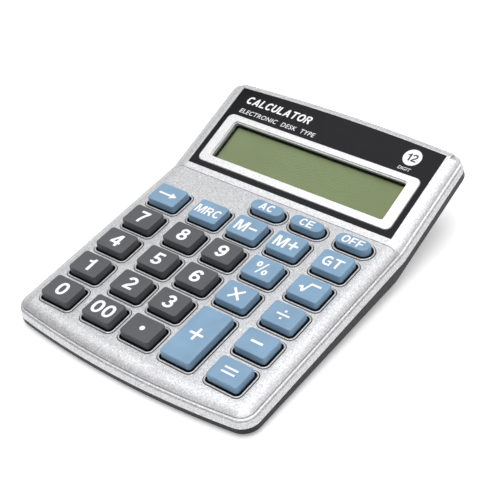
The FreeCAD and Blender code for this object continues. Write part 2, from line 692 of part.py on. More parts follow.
def display_pieces():
    """The panel, ring, lens and liquid-crystal stack, in the deck frame."""
    bezel_hole = v_prism(BEZEL_W, BEZEL_V, BEZEL_R + 0.1, -5, 5, 0.1)
    panel = panel_prism(0, -PANEL_RECESS, -0.12).cut(bezel_hole)
    ring = v_prism(BEZEL_W, BEZEL_V, BEZEL_R, -PANEL_RECESS, BEZEL_RISE)
    ring = ring.makeChamfer(0.25, edges_at(ring, BEZEL_RISE))
    skirt = v_prism(WINDOW_W + 2.6, WINDOW_V, 1.1, LENS_TOP, -PANEL_RECESS, 0.0)
    ring = ring.fuse(skirt)
    window = v_prism(WINDOW_W, WINDOW_V, WINDOW_R, -6, 6)
    ledge = v_prism(WINDOW_W, WINDOW_V, WINDOW_R + 0.5, -0.15, 6, 0.5)
    ring = ring.cut(window.fuse(ledge))
    lens_v = (WINDOW_V[0] - 1.1, WINDOW_V[1] + 1.1)
    lens = v_prism(WINDOW_W + 2.4, lens_v, 1.0, LENS_TOP - LENS_THICK, LENS_TOP)
    view_v = (WINDOW_V[0] - 0.9, WINDOW_V[1] + 0.9)
    glass_v = (WINDOW_V[0] - 2.2, WINDOW_V[1] + 2.0)
    rear_v = (WINDOW_V[0] - 4.2, WINDOW_V[1] + 2.0)
    n = LCD_TOP
    front_pol = v_prism(WINDOW_W + 1.6, view_v, 0.3, n - POLARISER_THICK, n)
    n -= POLARISER_THICK
    front_glass = slab(WINDOW_W / 2 + 2.4, glass_v[0], glass_v[1], n - GLASS_THICK, n)
    n -= GLASS_THICK
    rear_glass = slab(WINDOW_W / 2 + 2.4, rear_v[0], rear_v[1], n - GLASS_THICK, n)
    n -= GLASS_THICK
    reflector = v_prism(WINDOW_W + 1.6, view_v, 0.3, n - POLARISER_THICK, n)
    n -= POLARISER_THICK
    holder = slab(WINDOW_W / 2 + 4.2, rear_v[0] - 1.2, rear_v[1] + 1.4, n - 0.8, LCD_TOP)
    nest = slab(WINDOW_W / 2 + 2.5, rear_v[0] - 0.1, rear_v[1] + 0.1, n, LCD_TOP + 1)
    exit_slot = slab(33, rear_v[0] - 3, rear_v[0] + 1, n, LCD_TOP + 1)
    holder = holder.cut(nest.fuse(exit_slot))
    pieces = {"display_panel": panel, "window_bezel": ring, "display_lens": lens,
              "lcd_front_polariser": front_pol, "lcd_front_glass": front_glass,
              "lcd_rear_glass": rear_glass, "lcd_reflector": reflector, "lcd_holder": holder}
    return {name: on_display(shape) for name, shape in pieces.items()}


def lcd_ribbon():
    """The flat heat-seal strip from the glass ledge down to the rear edge of the board."""
    tilt = math.radians(DISPLAY_TILT)
    ledge_n = LCD_TOP - POLARISER_THICK - GLASS_THICK

    def place(v, n):
        return (SEAM_Y + v * math.cos(tilt) - n * math.sin(tilt), v * math.sin(tilt) + n * math.cos(tilt))

    start = place(WINDOW_V[0] - 2.5, ledge_n)
    leave = place(WINDOW_V[0] - 4.6, ledge_n)
    thick = 0.14
    upper = [start, leave, (79.3, -3.9), (76.7, BOARD_TOP + thick), (73.8, BOARD_TOP + thick)]
    lower = [(y, z + thick) for y, z in upper]
    lower[3] = (76.6, BOARD_TOP + 2 * thick)
    return side_prism(upper + lower[::-1], 31.0)


def cell():
    start = Vector(CELL_START, CELL_Y, CELL_Z)
    body = Part.makeCylinder(CELL_R, CELL_LENGTH - 1.0, start, X_AXIS)
    ends = [edge for edge in body.Edges if edge.Closed]
    body = body.makeFillet(0.5, ends)
    nub = Part.makeCylinder(2.6, 1.2, start + Vector(CELL_LENGTH - 1.2, 0, 0), X_AXIS)
    return off_slope(body.fuse(nub))


def contact_plate(x):
    """The plate of a battery contact, from x towards the right."""
    return box(x, x + CONTACT_THICK, CELL_Y - CONTACT_HALF, CELL_Y + CONTACT_HALF, CELL_Z - 5, CELL_Z + 4)


def positive_contact():
    x = CELL_START + CELL_LENGTH
    tab = box(x, x + CONTACT_THICK, CELL_Y - 1.5, CELL_Y + 1.5, CELL_Z + 3.5, CELL_Z + 5.0)
    return off_slope(contact_plate(x).fuse(tab))


def negative_contact():
    """A plate with a coil spring that presses on the cell."""
    x = -28.6
    plate = contact_plate(x)
    wire_r = 0.32
    coil_r = 3.4
    length = CELL_START - (x + CONTACT_THICK) - wire_r
    helix = Part.makeHelix(length / 3.5, length - wire_r, coil_r)
    start = Vector(coil_r, 0, 0)
    ring = Part.Wire(Part.makeCircle(wire_r, start, Vector(0, 1, 0.25)))
    coil = Part.Wire(helix.Edges).makePipeShell([ring], True, True)
    coil.rotate(Vector(0, 0, 0), Vector(0, 1, 0), 90)
    coil.translate(Vector(x + CONTACT_THICK - 0.1 + wire_r, CELL_Y, CELL_Z))
    return off_slope(plate.fuse(Part.Solid(coil) if coil.ShapeType != "Solid" else coil))


def lead(points, radius):
    """A short insulated wire as straight runs with round elbows."""
    pieces = []
    for a, b in zip(points, points[1:]):
        start, run = Vector(*a), Vector(*b) - Vector(*a)
        pieces.append(Part.makeCylinder(radius, run.Length, start, run))
    pieces += [Part.makeSphere(radius, Vector(*p)) for p in points[1:-1]]
    return fuse(pieces)


def battery_leads():
    """The two wires from the battery contacts to the rear of the board, under the display."""
    route = ((29.02, CELL_Y, CELL_Z + 4.5), (30.6, 101.0, 15.0), (31.0, 90.4, 11.9), (30.4, 80.4, 8.7),
             (30.0, 73.4, 8.3))
    leads = {}
    for side, name in ((1, "positive_wire"), (-1, "negative_wire")):
        leads[name] = off_slope(lead([(side * x, y, z) for x, y, z in route], LEAD_R))
    return leads


def battery_door():
    z0, z1 = HOUSING_FLOOR, HOUSING_FLOOR + HOUSING_WALL
    rear = DOOR_REAR
    plate = slab(DOOR_HALF - DOOR_GAP, DOOR_FRONT + DOOR_GAP, rear, z0, z1)
    tongue_top = z1 + 0.05
    tongues = slab(DOOR_HALF + DOOR_TONGUE - DOOR_GAP, DOOR_FRONT + DOOR_GAP, rear - HOUSING_WALL - 0.6,
                   DOOR_STEP + DOOR_GAP, tongue_top)
    lean = 1.2 / 21.0
    high = DOOR_UPSTAND - DOOR_GAP
    upstand_points = [(rear - HOUSING_WALL, z0), (rear, z0), (rear + lean * (high - z0), high),
                      (rear + lean * (high - z0) - HOUSING_WALL, high)]
    upstand = side_prism(upstand_points, DOOR_HALF - DOOR_GAP)
    door = plate.multiFuse([tongues, upstand])
    grips = []
    for step in range(4):
        y = rear - 5.0 - 1.6 * step
        grips.append(slab(7.0, y, y + 0.7, z0 - 0.1, z0 + 0.35))
    return off_slope(door.cut(Part.makeCompound(grips)).removeSplitter())


def rubber_feet(case):
    """Four round pads from the table up to the case's underside."""
    feet = []
    for x, y, radius in (REAR_FOOT, FRONT_FOOT):
        for side in (-1, 1):
            foot = off_slope(rod(side * x, y, 0, 3.0, radius)).cut(case)
            feet.append(min(foot.Solids, key=lambda solid: solid.BoundBox.ZMin))
    return Part.makeCompound(feet)


# ---- assembly -----------------------------------------------------------------------------------
def build():
    nodes = dict(key_solids())
    nodes["top_shell"] = top_shell()
    nodes["bottom_shell"] = bottom_shell()
    nodes.update(display_pieces())
    nodes["rubber_mat"] = rubber_mat()
    nodes["carbon_pills"] = carbon_pills()
    nodes["main_board"] = main_board()
    nodes["controller_chip"] = chip_blob()
    nodes["chip_capacitors"] = board_parts(((-14, 58), (-14, 62), (-20, 58), (24, 66)), 2.0, 1.25, 0.8)
    nodes["chip_resistors"] = board_parts(((-26, 60), (-26, 64), (24, 60), (30, 60)), 2.0, 1.25, 0.55)
    nodes["lcd_ribbon"] = lcd_ribbon()
    nodes["case_screws"], nodes["board_screws"] = screw_groups()
    nodes["battery_cell"] = cell()
    nodes["positive_contact"] = positive_contact()
    nodes["negative_contact"] = negative_contact()
    nodes.update(battery_leads())
    nodes["battery_door"] = battery_door()
    nodes["rubber_feet"] = rubber_feet(nodes["bottom_shell"])
    return nodes


def finish(shape):
    """Set a deck-frame shape into the finished frame."""
    out = on_slope(shape)
    out.translate(Vector(0, DECK_BACK, 0))
    return out


os.makedirs("parts", exist_ok=True)
for name, shape in build().items():
    placed = finish(shape)
    placed.exportStep("parts/" + name + ".step")
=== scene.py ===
import json
import math

import bmesh
import bpy
from mathutils import Matrix, Vector


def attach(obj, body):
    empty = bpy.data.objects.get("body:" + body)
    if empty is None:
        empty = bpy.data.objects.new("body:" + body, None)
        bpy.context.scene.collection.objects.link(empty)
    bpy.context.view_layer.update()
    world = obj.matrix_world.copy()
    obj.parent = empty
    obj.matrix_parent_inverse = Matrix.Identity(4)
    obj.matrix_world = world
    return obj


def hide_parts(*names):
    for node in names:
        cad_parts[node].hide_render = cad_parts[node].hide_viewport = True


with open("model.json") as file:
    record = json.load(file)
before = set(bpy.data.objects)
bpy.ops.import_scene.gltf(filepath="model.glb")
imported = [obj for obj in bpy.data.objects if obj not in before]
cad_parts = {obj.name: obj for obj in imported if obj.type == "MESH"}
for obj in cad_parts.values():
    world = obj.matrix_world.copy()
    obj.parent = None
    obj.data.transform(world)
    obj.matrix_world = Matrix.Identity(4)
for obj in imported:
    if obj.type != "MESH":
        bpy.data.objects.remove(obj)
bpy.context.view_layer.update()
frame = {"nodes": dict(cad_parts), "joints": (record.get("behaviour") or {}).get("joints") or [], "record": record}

MM = 0.001
PRESS_AXIS = Vector(frame["joints"][0]["axis"])
DECK_SLOPE = math.atan2(-PRESS_AXIS.y, PRESS_AXIS.z)    # keypad deck against the table
DISPLAY_TILT = math.radians(15)                         # display section against the deck
DISPLAY_SLOPE = DECK_SLOPE + DISPLAY_TILT
KEY_TOP = 3.2 * MM              # key tops over the deck


# ---- sizes read from the frame ------------------------------------------------------------------
def turned_box(node, slope):
    """A CAD node's lowest and highest corner, in a frame turned about X by slope."""
    turn = Matrix.Rotation(-slope, 3, "X")
    points = [turn @ vertex.co for vertex in frame["nodes"][node].data.vertices]
    low = Vector([min(p[i] for p in points) for i in range(3)])
    high = Vector([max(p[i] for p in points) for i in range(3)])
    return low, high


def sloped(slope):
    """The matrix that takes a point from the turned frame back to the row frame."""
    return Matrix.Rotation(slope, 4, "X")


# ---- materials ----------------------------------------------------------------------------------
class Paint:
    """A material's node tree, with short calls for the nodes used here."""

    def __init__(self, name, **settings):
        self.material = bpy.data.materials.new(name)
        self.material.use_nodes = True
        self.nodes = self.material.node_tree.nodes
        self.links = self.material.node_tree.links
        self.shader = self.nodes["Principled BSDF"]
        self.place = self.nodes.new("ShaderNodeTexCoord").outputs["Object"]
        for socket, value in settings.items():
            self.shader.inputs[socket.replace("_", " ")].default_value = value

    def noise(self, size, detail=2.0, rough=0.5):
        """Soft noise whose lumps are about size metres across."""
        node = self.nodes.new("ShaderNodeTexNoise")
        node.inputs["Scale"].default_value = 1 / size
        node.inputs["Detail"].default_value = detail
        node.inputs["Roughness"].default_value = rough
        self.links.new(self.place, node.inputs["Vector"])
        return node.outputs["Fac"]

    def flakes(self, size):
        """A random value for each cell, as metal flakes in paint have."""
        node = self.nodes.new("ShaderNodeTexVoronoi")
        node.inputs["Scale"].default_value = 1 / size
        self.links.new(self.place, node.inputs["Vector"])
        split = self.nodes.new("ShaderNodeSeparateColor")
        self.links.new(node.outputs["Color"], split.inputs["Color"])
        return split.outputs["Red"]

    def ramp(self, value, *stops):
        """Map a value through (position, colour or grey level) stops."""
        node = self.nodes.new("ShaderNodeValToRGB")
        elements = node.color_ramp.elements
        while len(elements) < len(stops):
            elements.new(0.5)
        for element, (position, colour) in zip(elements, stops):
            element.position = position
            if isinstance(colour, float):
                colour = (colour, colour, colour)
            element.color = (*colour, 1.0)
        self.links.new(value, node.inputs["Fac"])
        return node.outputs["Color"]

    def mix(self, share, a, b, mode="MIX"):
        """Blend two colours; share is a number or a socket."""
        node = self.nodes.new("ShaderNodeMix")
        node.data_type = "RGBA"
        node.blend_type = mode
        for socket, value in ((node.inputs[0], share), (node.inputs[6], a), (node.inputs[7], b)):
            if isinstance(value, bpy.types.NodeSocket):
                self.links.new(value, socket)
            elif isinstance(value, tuple):
                socket.default_value = (*value, 1.0)
            else:
                socket.default_value = value
        return node.outputs[2]

    def measure(self, axis):
        """How far a point lies along an axis, in metres."""
        node = self.nodes.new("ShaderNodeVectorMath")
        node.operation = "DOT_PRODUCT"
        node.inputs[1].default_value = axis
        self.links.new(self.place, node.inputs[0])
        return node.outputs["Value"]

    def math(self, operation, *values):
        """A sum of numbers and sockets; for COMPARE they are value, middle and reach."""
        node = self.nodes.new("ShaderNodeMath")
        node.operation = operation
        for socket, value in zip(node.inputs, values):
            if isinstance(value, float):
                socket.default_value = value
            else:
                self.links.new(value, socket)
        return node.outputs["Value"]

    def feed(self, socket, value):
        """Lead a node's output to one of the shader's sockets."""
        self.links.new(value, self.shader.inputs[socket])

    def bump(self, height, strength, distance):
        """Roughen the surface by a height, over any bump that is already there."""
        node = self.nodes.new("ShaderNodeBump")
        node.inputs["Strength"].default_value = strength
        node.inputs["Distance"].default_value = distance
        self.links.new(height, node.inputs["Height"])
        earlier = self.shader.inputs["Normal"].links
        if earlier:
            self.links.new(earlier[0].from_socket, node.inputs["Normal"])
        self.links.new(node.outputs["Normal"], self.shader.inputs["Normal"])


COARSE_SHARE = 0.4              # of the silver paint's colour, from clumps and not single flakes
HOLE_MARGIN = 0.5 * MM          # beyond the outermost key holes
SHADE_BELOW_DECK = 0.15 * MM         # how far under the deck the painted shade in the key holes begins
# painted shade: the near-black colour of the key holes' walls under the deck
HOLE_SHADE = (0.008, 0.008, 0.009)


def silver_paint(name, dark, light, roughness, flake):
    """Silver paint: a bright ground, single flakes of the size given, and their clumps."""
    paint = Paint(name, Metallic=0.75, Roughness=roughness)
    fine = paint.ramp(paint.flakes(flake), (0.0, dark), (0.4, light), (0.85, light), (1.0, 1.0))
    coarse = paint.ramp(paint.noise(1.7 * flake, 3.0, 0.8), (0.38, dark), (0.6, light))
    paint.feed("Base Color", paint.mix(COARSE_SHARE, fine, coarse))
    paint.feed("Roughness", paint.ramp(paint.noise(0.6 * MM), (0.3, roughness - 0.05),
                                       (0.7, roughness + 0.07)))
    paint.bump(paint.noise(1.4 * flake, 2.0), 0.25, 0.02 * MM)
    return paint


def shade_in_holes(paint):
    """Painted shade in the key holes: under the deck their walls get a near-black colour and lose their metal
    shine, so the gaps round the keys read dark.
    """
    front_low, front_high = turned_box("key_zero", DECK_SLOPE)
    back_high = turned_box("key_off", DECK_SLOPE)[1]
    deck = front_high.z - KEY_TOP
    front, back = front_low.y - HOLE_MARGIN, back_high.y + HOLE_MARGIN
    side = back_high.x + HOLE_MARGIN
    up_the_deck = Matrix.Rotation(DECK_SLOPE, 3, "X") @ Vector((0, 1, 0))
    # painted shade mask: points under the deck, inside the field of key holes
    sunk = paint.math("LESS_THAN", paint.measure(PRESS_AXIS), deck - SHADE_BELOW_DECK)
    across = paint.math("COMPARE", paint.measure((1, 0, 0)), 0.0, side)
    along = paint.math("COMPARE", paint.measure(up_the_deck), (front + back) / 2, (back - front) / 2)
    shade_mask = paint.math("MULTIPLY", paint.math("MULTIPLY", sunk, across), along)
    painted = paint.shader.inputs["Base Color"].links[0].from_socket
    # the painted shade replaces the silver colour and its metal shine in the holes
    paint.feed("Base Color", paint.mix(shade_mask, painted, HOLE_SHADE))
    shine = paint.shader.inputs["Metallic"].default_value
    paint.feed("Metallic", paint.math("MULTIPLY", paint.math("SUBTRACT", 1.0, shade_mask), shine))
    return paint.material


def moulded(name, colour, roughness, grain, depth, **settings):
    """Moulded plastic: slight colour drift, a fine texture and a soft sheen."""
    paint = Paint(name, **settings)
    shade = tuple(0.9 * c for c in colour)
    light = tuple(min(1.0, 1.06 * c) for c in colour)
    paint.feed("Base Color", paint.ramp(paint.noise(9 * MM, 3.0), (0.3, shade), (0.7, light)))
    paint.feed("Roughness", paint.ramp(paint.noise(1.2 * MM, 4.0), (0.3, roughness - 0.06),
                                       (0.75, roughness + 0.06)))
    paint.bump(paint.noise(grain, 3.0, 0.6), 0.4, depth)
    return paint.material


def metal(name, colour, roughness):
    """Plain plated metal with faint handling marks."""
    paint = Paint(name, Metallic=1.0)
    worn = tuple(0.75 * c for c in colour)
    paint.feed("Base Color", paint.ramp(paint.noise(0.8 * MM, 5.0), (0.35, worn), (0.65, colour)))
    paint.feed("Roughness", paint.ramp(paint.noise(0.25 * MM, 3.0), (0.3, roughness - 0.08),
                                       (0.7, roughness + 0.1)))
    paint.bump(paint.noise(0.3 * MM, 2.0), 0.15, 0.02 * MM)
    return paint.material


def clear_window(name):
    """A thin clear sheet: see-through, with the gloss of polished acrylic."""
    paint = Paint(name)
    glossy = paint.nodes.new("ShaderNodeBsdfGlossy")
    glossy.inputs["Roughness"].default_value = 0.05
    through = paint.nodes.new("ShaderNodeBsdfTransparent")
    through.inputs["Color"].default_value = (0.96, 0.98, 0.96, 1.0)
    facing = paint.nodes.new("ShaderNodeFresnel")
    facing.inputs["IOR"].default_value = 1.18
    both = paint.nodes.new("ShaderNodeMixShader")
    paint.links.new(facing.outputs["Fac"], both.inputs["Fac"])
    paint.links.new(through.outputs["BSDF"], both.inputs[1])
    paint.links.new(glossy.outputs["BSDF"], both.inputs[2])
    output = paint.nodes["Material Output"]
    paint.links.new(both.outputs["Shader"], output.inputs["Surface"])
    paint.nodes.remove(paint.shader)
    return paint.material


def lcd_film(name, low, high):
    """The grey-green face of a reflective liquid-crystal display."""
    paint = Paint(name, Roughness=0.5, Specular_IOR_Level=0.15)
    clouds = paint.ramp(paint.noise(34 * MM, 1.0), (0.3, low), (0.7, high))
    fibres = paint.ramp(paint.noise(0.12 * MM, 2.0), (0.3, 0.975), (0.7, 1.0))
    paint.feed("Base Color", paint.mix(1.0, clouds, fibres, "MULTIPLY"))
    return paint.material


# A moulded row reads: name, colour, roughness, size of the grain, depth of the grain.
MATERIALS = {
    # the silver paint, with painted shade in its key holes
    "silver_shell": shade_in_holes(
        silver_paint("silver_shell", (0.38, 0.38, 0.38), (0.665, 0.665, 0.685), 0.47, 0.3 * MM)),
    "bezel_silver":
        silver_paint("bezel_silver", (0.42, 0.42, 0.42), (0.68, 0.68, 0.685), 0.36, 0.24 * MM).material,
    "dark_shell": moulded("dark_shell", (0.007, 0.0065, 0.011), 0.5, 0.22 * MM, 0.03 * MM,
                          Specular_IOR_Level=0.3),
    "black_gloss": moulded("black_gloss", (0.006, 0.006, 0.008), 0.16, 0.9 * MM, 0.002 * MM,
                           Specular_IOR_Level=0.1),
    "clear_lens": clear_window("clear_lens"),
    "polariser": lcd_film("polariser", (0.176, 0.205, 0.096), (0.206, 0.243, 0.112)),
    "lcd_glass": moulded("lcd_glass", (0.30, 0.36, 0.26), 0.12, 0.5 * MM, 0.002 * MM),
    "lcd_reflector": lcd_film("lcd_reflector", (0.16, 0.22, 0.1), (0.2, 0.27, 0.13)),
    "inner_plastic": moulded("inner_plastic", (0.62, 0.62, 0.60), 0.5, 0.4 * MM, 0.02 * MM),
    "ribbon_film": moulded("ribbon_film", (0.42, 0.22, 0.05), 0.35, 0.6 * MM, 0.01 * MM),
    "key_rubber": moulded("key_rubber", (0.50, 0.51, 0.50), 0.6, 0.3 * MM, 0.02 * MM),
    "carbon_rubber": moulded("carbon_rubber", (0.008, 0.008, 0.008), 0.65, 0.2 * MM, 0.02 * MM,
                             Specular_IOR_Level=0.25),
    "board_laminate": moulded("board_laminate", (0.03, 0.16, 0.05), 0.35, 0.5 * MM, 0.02 * MM),
    "chip_resin": moulded("chip_resin", (0.015, 0.015, 0.015), 0.3, 0.8 * MM, 0.03 * MM),
    "component_tan": moulded("component_tan", (0.42, 0.30, 0.17), 0.5, 0.2 * MM, 0.01 * MM),
    "component_black": moulded("component_black", (0.02, 0.02, 0.02), 0.4, 0.2 * MM, 0.01 * MM),
    "screw_steel": metal("screw_steel", (0.55, 0.55, 0.56), 0.3),
    "cell_can": moulded("cell_can", (0.05, 0.13, 0.06), 0.3, 0.6 * MM, 0.01 * MM, Metallic=0.4),
    "contact_metal": metal("contact_metal", (0.74, 0.72, 0.68), 0.25),
    "wire_red": moulded("wire_red", (0.45, 0.02, 0.02), 0.45, 0.3 * MM, 0.01 * MM),
    "wire_black": moulded("wire_black", (0.02, 0.02, 0.02), 0.45, 0.3 * MM, 0.01 * MM),
    "foot_rubber": moulded("foot_rubber", (0.02, 0.02, 0.02), 0.75, 0.25 * MM, 0.04 * MM),
    "key_blue": moulded("key_blue", (0.190, 0.325, 0.470), 0.4, 0.28 * MM, 0.006 * MM,
                        Coat_Weight=0.3, Coat_Roughness=0.12),
    "key_dark": moulded("key_dark", (0.072, 0.073, 0.082), 0.48, 0.24 * MM, 0.012 * MM,
                        Coat_Weight=0.12, Coat_Roughness=0.2),
    "print_white": moulded("print_white", (0.88, 0.88, 0.88), 0.5, 0.15 * MM, 0.003 * MM),
    "print_black": moulded("print_black", (0.02, 0.02, 0.02), 0.5, 0.15 * MM, 0.003 * MM),
}


def dress(piece, material):
    """Give a piece one material all over; this also clears its faces' material numbers."""
    piece.data.materials.clear()
    piece.data.materials.append(MATERIALS[material])


for subpart in frame["record"]["subparts"]:
    dress(frame["nodes"][subpart["node"]], subpart["material_slot"])


# ---- mesh helpers -------------------------------------------------------------------------------
CORNER_STEPS = 8
SIDE_STEPS = 5
TINY = 1e-6                     # keeps a ring's straight sides from vanishing


def rounded_ring(half_w, half_d, radius):
    """Points round a rectangle with rounded corners, the same number whatever its size."""
    radius = min(radius, half_w - TINY, half_d - TINY)
    corners = ((1, 1, 0), (-1, 1, 90), (-1, -1, 180), (1, -1, 270))
    arcs = []
    for sx, sy, start in corners:
        centre = Vector((sx * (half_w - radius), sy * (half_d - radius)))
        arc = []
        for step in range(CORNER_STEPS + 1):
            angle = math.radians(start + 90 * step / CORNER_STEPS)
            arc.append(centre + radius * Vector((math.cos(angle), math.sin(angle))))
        arcs.append(arc)
    ring = []
    for arc, following in zip(arcs, arcs[1:] + arcs[:1]):
        ring += arc
        ring += [arc[-1].lerp(following[0], step / SIDE_STEPS) for step in range(1, SIDE_STEPS)]
    return ring


def lofted(name, rings, matrix):
    """A closed mesh through rings of 3-D points; both ends close on their middle point.

    Its faces come in the order of the rings, and the two ends' faces come last.
    """
    mesh = bpy.data.meshes.new(name)
    form = bmesh.new()
    rows = [[form.verts.new(matrix @ Vector(p)) for p in ring] for ring in rings]
    for row, following in zip(rows, rows[1:]):
        for i, vertex in enumerate(row):
            j = (i + 1) % len(row)
            form.faces.new((vertex, row[j], following[j], following[i]))
    for row, backwards in ((rows[0], True), (rows[-1], False)):
        middle = form.verts.new(sum((v.co for v in row), Vector()) / len(row))
        for i, vertex in enumerate(row):
            corner = (vertex, row[(i + 1) % len(row)], middle)
            form.faces.new(corner[::-1] if backwards else corner)
    for face in form.faces:
        face.smooth = True
    form.to_mesh(mesh)
    form.free()
    piece = bpy.data.objects.new(name, mesh)
    bpy.context.scene.collection.objects.link(piece)
    return piece


# ---- keys ---------------------------------------------------------------------------------------
KEY_DRAFT = 0.05 * MM           # how far a key's side leans in from the deck to its top
SHADE_OVER_DECK = 0.35 * MM         # how far the painted shade on a key's lower wall reaches over the deck
KEY_GAP = 0.68 * MM             # between a key and the edge of its hole, at the deck
FLANGE_LIP = 0.45 * MM          # how far the flange reaches under the deck, past the hole
FLANGE_DROP = 2.15 * MM         # its lower face under the deck's upper face
FLANGE_THICK = 0.6 * MM
FLANGE_R = 1.2 * MM
KEY_WALL = 1.1 * MM
KEY_R = 1.15 * MM
KEY_DISH = 0.12 * MM
HOLLOW_R = 0.8 * MM
PLUNGER = (2.4 * MM, 1.8 * MM)  # half its width and depth
PLUNGER_R = 0.3 * MM
OVAL_BELOW = 3.5 * MM           # keys with less than this half depth have round ends
EDGE_BLUE = 0.5 * MM            # radius of the top edge
EDGE_DARK = 0.22 * MM
EDGE_STEPS = 6
TOP_STEPS = 12
TIGHTEST_R = 0.25 * MM          # of a ring's corners
CORNER_LEAN = 0.4               # how much a corner's radius shrinks as its wall leans in
BREAK = 0.08 * MM               # the flange's broken edges
ROOT = 0.06 * MM                # the fillet where the wall meets the flange
HOLD = 0.3 * MM                 # an extra ring this near a corner keeps its shading flat

BLUE = {n["node"] for n in frame["record"]["subparts"] if n["material_slot"] == "key_blue"}
KEYS = [n["node"] for n in frame["record"]["subparts"] if n["node"].startswith("key_")]


class Key:
    """Where a key is and how large, in the deck's own directions, read from its CAD node."""

    def __init__(self, node):
        low, high = turned_box(node, DECK_SLOPE)
        self.node = node
        self.blue = node in BLUE
        self.centre = (low + high) / 2
        self.top = high.z
        self.plunger_end = low.z - self.top
        margin = FLANGE_LIP + KEY_GAP
        self.half_w = (high.x - low.x) / 2 - margin
        self.half_d = (high.y - low.y) / 2 - margin
        self.oval = self.half_d < OVAL_BELOW
        place = Matrix.Translation((self.centre.x, self.centre.y, self.top))
        self.matrix = sloped(DECK_SLOPE) @ place

    def dish(self, x, y):
        """Depth of the finger dish under the rim of the key top."""
        u = min(1.0, abs(x) / (self.half_w - KEY_DRAFT - self.edge()))
        v = min(1.0, abs(y) / (self.half_d - KEY_DRAFT - self.edge()))
        return -KEY_DISH * (1 - u * u) * (1 - v * v)

    def edge(self):
        """Radius of the rounded top edge."""
        return EDGE_BLUE if self.blue else EDGE_DARK


def key_rings(key):
    """Rings from the plunger's end, through the hollow and over the flange, up to the dish.

    Also the number of rows, from the plunger's end up, that get the painted shade: near black, so the gap round
    the key reads dark.
    """
    def ring(half_w, half_d, radius, z):
        return [Vector((p.x, p.y, z)) for p in rounded_ring(half_w, half_d, radius)]

    base_r = key.half_d if key.oval else KEY_R
    flange_low = -KEY_TOP - FLANGE_DROP
    flange_high = flange_low + FLANGE_THICK
    ceiling = -KEY_WALL - KEY_DISH
    hollow_w = key.half_w - KEY_DRAFT - KEY_WALL
    hollow_d = key.half_d - KEY_DRAFT - KEY_WALL
    plunger_w, plunger_d = PLUNGER[0], min(PLUNGER[1], hollow_d * 0.8)
    flange_w = key.half_w + KEY_GAP + FLANGE_LIP
    flange_d = key.half_d + KEY_GAP + FLANGE_LIP
    flange_r = flange_d if key.oval else FLANGE_R
    chamfer = 0.1 * MM
    rings = [ring(plunger_w - chamfer, plunger_d - chamfer, PLUNGER_R, key.plunger_end),
             ring(plunger_w, plunger_d, PLUNGER_R, key.plunger_end + chamfer),
             ring(plunger_w, plunger_d, PLUNGER_R, ceiling - HOLD),
             ring(plunger_w, plunger_d, PLUNGER_R, ceiling),
             ring(hollow_w, hollow_d, HOLLOW_R, ceiling),
             ring(hollow_w, hollow_d, HOLLOW_R, ceiling - HOLD),
             ring(hollow_w, hollow_d, HOLLOW_R, flange_low),
             ring(flange_w - BREAK, flange_d - BREAK, flange_r, flange_low),
             ring(flange_w, flange_d, flange_r, flange_low + BREAK),
             ring(flange_w, flange_d, flange_r, flange_high - BREAK),
             ring(flange_w - BREAK, flange_d - BREAK, flange_r, flange_high),
             ring(key.half_w + ROOT, key.half_d + ROOT, base_r, flange_high)]

    # the leaning wall, with painted shade up to just over the deck
    edge = key.edge()
    lean = math.atan2(KEY_DRAFT, KEY_TOP)
    wall_high = -edge * (1 - math.sin(lean))
    foot = flange_high + ROOT
    shade_to = -KEY_TOP + SHADE_OVER_DECK
    shaded_rows = len(rings) + 1
    for z in (foot, shade_to, shade_to + 0.04 * MM, wall_high / 2 - KEY_TOP / 2, wall_high - ROOT,
              wall_high):
        inset = KEY_DRAFT * (z - foot) / -foot
        rings.append(ring(key.half_w - inset, key.half_d - inset, base_r - inset * CORNER_LEAN, z))

    # the rounded top edge, then the dish
    rim_w, rim_d = key.half_w - KEY_DRAFT, key.half_d - KEY_DRAFT
    rim_r = base_r - CORNER_LEAN * KEY_DRAFT
    for step in range(1, EDGE_STEPS + 1):
        angle = lean + (math.pi / 2 - lean) * step / EDGE_STEPS
        out = edge * (1 - math.cos(angle))
        z = -edge * (1 - math.sin(angle))
        rings.append(ring(rim_w - out, rim_d - out, max(rim_r - out, TIGHTEST_R), z))
    flat = rounded_ring(rim_w - edge, rim_d - edge, max(rim_r - edge, TIGHTEST_R))
    for step in range(1, TOP_STEPS):
        share = 1 - step / TOP_STEPS
        spots = [(p.x * share, p.y * share) for p in flat]
        rings.append([Vector((x, y, key.dish(x, y))) for x, y in spots])
    return rings, shaded_rows


def make_key(key):
    """The key cap, which stands for the CAD key: coloured above the deck, with painted shade below it, near black
    so the gap round the key reads dark.
    """
    rings, shaded_rows = key_rings(key)
    piece = lofted("cap_" + key.node[4:], rings, key.matrix)
    material = "key_blue" if key.blue else "key_dark"
    dress(piece, material)
    # second slot: painted shade, near black, on the plunger, hollow, flange and wall up to just over the deck
    piece.data.materials.append(MATERIALS["carbon_rubber"])
    for face in piece.data.polygons[:shaded_rows * len(rings[0])]:
        face.material_index = 1
    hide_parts(key.node)
    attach(piece, key.node)


# ---- printing -----------------------------------------------------------------------------------
INK = 0.012 * MM                # how far print stands over the surface
CAP_SHARE = 0.7                 # of the built-in font's size, a capital's height


